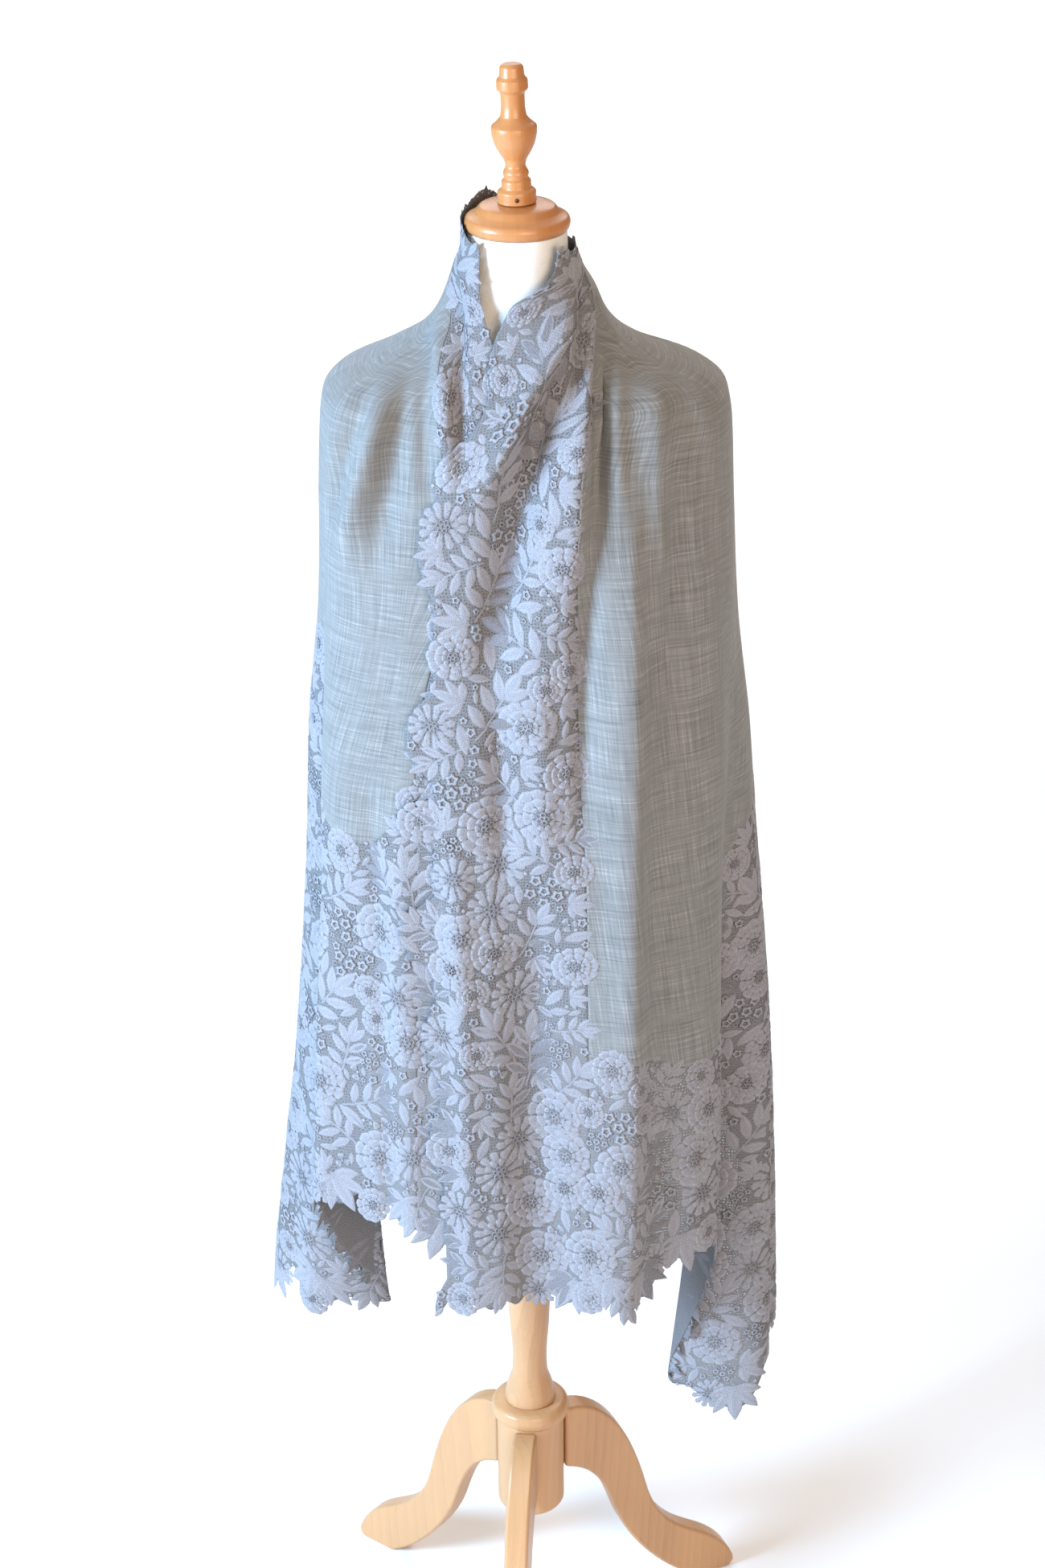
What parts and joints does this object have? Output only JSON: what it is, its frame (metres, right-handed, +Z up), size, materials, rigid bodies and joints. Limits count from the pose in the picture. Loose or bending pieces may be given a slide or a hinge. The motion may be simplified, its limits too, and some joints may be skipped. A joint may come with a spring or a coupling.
{
  "type": "lace-edged shawl on a limbless dress form with a tripod stand",
  "caption": "Wide woven shawl with a scalloped floral lace border, draped over the shoulders of a limbless dress form on a turned wooden tripod stand.",
  "frame": {"origin": "centre of the bottom of the whole object's box, on the floor", "axes": "+Z up along the pole, -Y towards the front of the form, +X to the viewer's right"},
  "size_m": [0.5486, 0.4144, 1.7808],
  "materials": {
    "woven": "slubby plain weave in soft grey",
    "lace": "corded floral lace on fine net in pale blue grey",
    "linen": "off-white linen cover",
    "honey_wood": "honey lacquered turned wood",
    "tan_wood": "pale tan lacquered wood"
  },
  "bodies": {
    "root": {"finial": "honey_wood", "neck_cap": "honey_wood", "torso": "linen", "pole": "tan_wood", "collar_ring": "tan_wood", "hub": "tan_wood", "leg_front": "tan_wood", "leg_right": "tan_wood", "leg_left": "tan_wood", "lace_front_right": "lace", "lace_front_left": "lace", "lace_collar_back": "lace", "woven_front_right": "woven", "woven_front_left": "woven", "woven_back": "woven", "lace_hem_right": "lace", "lace_hem_left": "lace", "lace_hem_back": "lace"}
  },
  "joints": []
}
